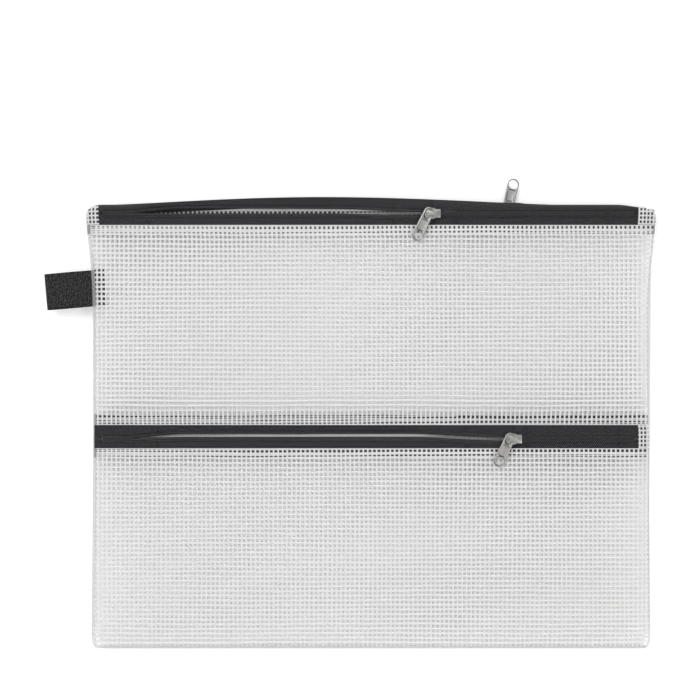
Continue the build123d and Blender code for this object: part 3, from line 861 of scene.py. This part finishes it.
def eased(node, body, easing, narrow):
    shape = bmesh.new()
    shape.from_mesh(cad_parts[node].data)
    bmesh.ops.remove_doubles(shape, verts=shape.verts, dist=easingSteps["merge"] * mm)
    bmesh.ops.dissolve_limit(shape, angle_limit=math.radians(easingSteps["level"]), verts=shape.verts,
                             edges=shape.edges)
    sharp = [edge for edge in shape.edges if edge.calc_face_angle(0) > math.radians(easingSteps["sharp"])]
    bmesh.ops.bevel(shape, geom=sharp, offset=easing * mm, segments=easingSteps["segments"],
                    profile=easingSteps["profile"], affect="EDGES", clamp_overlap=narrow)
    for plane in shape.faces:  # large flats stay flat, rims and round walls are smooth
        plane.smooth = len(plane.verts) <= easingSteps["corners"]
    mesh = bpy.data.meshes.new(node + "Eased")
    shape.to_mesh(mesh)
    shape.free()
    mesh.set_sharp_from_angle(angle=math.radians(easingSteps["crease"]))
    mesh.materials.append(nickel.material)
    made = bpy.data.objects.new(node + "Eased", mesh)
    bpy.context.collection.objects.link(made)
    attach(made, body)
    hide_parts(node)


for name in zips:
    for kind, rim in metal.items():
        eased(name + "_" + kind, name + ("_pull" if kind == "pull_tab" else "_slider"), **rim)
print("metal made")


# Floor, light and camera, in metres

studio = {
    "floor": 0.9, "floorSize": 6, "floorRoughness": 0.9, "glow": 0.3,
    "sky": 0.7, "horizon": 0.01, "zenith": 0.52, "horizonTop": 0.2,
    "key": 14.0, "keyAt": (-0.75, 0.85, 1.5), "keySize": 1.1,
    "fill": 6.0, "fillAt": (0.9, -0.6, 1.2), "fillSize": 0.8,
    "eye": (-0.0126, 0.0465, 2.348), "lens": 200, "sensor": 36, "clip": 20,
}
bpy.ops.mesh.primitive_plane_add(size=studio["floorSize"])
floor = bpy.context.object
floor.name = "floor"
floorFinish = Finish(bpy.data.materials.new("paleFloor"))
seen = floorFinish.node("ShaderNodeLightPath", {}, {}, 0)
floorFinish.surface({
    "Base Color": (studio["floor"],) * 3 + (1,), "Roughness": studio["floorRoughness"],
    "Emission Color": floorFinish.tint(seen, (0, 0, 0), (studio["glow"],) * 3), "Emission Strength": 1.0,
})
floor.data.materials.append(floorFinish.material)

# White where the camera sees it, darker towards the horizon where metal mirrors it, plain light for the rest
world = bpy.data.worlds.new("studioSky")
bpy.context.scene.world = world
sky = Finish(world, "", "Background")
seen = sky.node("ShaderNodeLightPath", {}, {}, 0)
glossy = sky.node("ShaderNodeLightPath", {}, {}, 3)
upward = sky.part(sky.node("ShaderNodeTexCoord", {}, {}, 0), 2)
shine = sky.node("ShaderNodeMapRange", {}, {
    0: upward, 1: studio["horizonTop"], 2: 1.0, 3: studio["horizon"], 4: studio["zenith"],
})
sky.surface({"Color": glossy * shine + seen + (1 - glossy) * (1 - seen) * studio["sky"], "Strength": 1.0})

for name in ("key", "fill"):
    light = bpy.data.lights.new(name + "Light", "AREA")
    light.energy = studio[name]
    light.size = studio[name + "Size"]
    lamp = bpy.data.objects.new(name + "Light", light)
    lamp.location = studio[name + "At"]
    lamp.rotation_euler = (-lamp.location).to_track_quat("-Z", "Y").to_euler()
    bpy.context.collection.objects.link(lamp)

camera = bpy.data.cameras.new("photoCamera")
camera.lens = studio["lens"]
camera.sensor_width = studio["sensor"]
camera.clip_end = studio["clip"]
eye = bpy.data.objects.new("photoCamera", camera)
eye.location = studio["eye"]
bpy.context.collection.objects.link(eye)
bpy.context.scene.camera = eye
bpy.context.scene.view_settings.view_transform = "Standard"

print("stage set")
